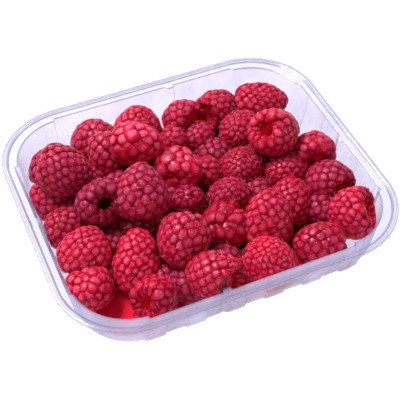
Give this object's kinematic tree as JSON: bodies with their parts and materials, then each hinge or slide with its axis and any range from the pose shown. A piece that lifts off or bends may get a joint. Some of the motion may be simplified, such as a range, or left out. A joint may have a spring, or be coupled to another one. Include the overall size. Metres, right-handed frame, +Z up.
{
  "type": "punnet of raspberries",
  "caption": "Shallow clear plastic punnet with a flanged rim and ribbed walls, an absorbent liner on its floor and a loose heap of fresh raspberries.",
  "frame": {"origin": "middle of the underside of the tray, on the surface that it rests on", "axes": "+X along the long side of the rim, +Y along the short side, +Z up"},
  "size_m": [0.165, 0.144, 0.0407],
  "materials": {
    "clear_plastic": "clear thermoformed plastic with a pale lilac cast, glossy",
    "liner_fibre": "absorbent liner soaked deep red with juice",
    "raspberry": "ripe raspberry skin, satin, with a pinkish bloom and darker seams"
  },
  "bodies": {
    "root": {"tray": "clear_plastic", "liner": "liner_fibre", "berries": "raspberry"}
  },
  "joints": []
}
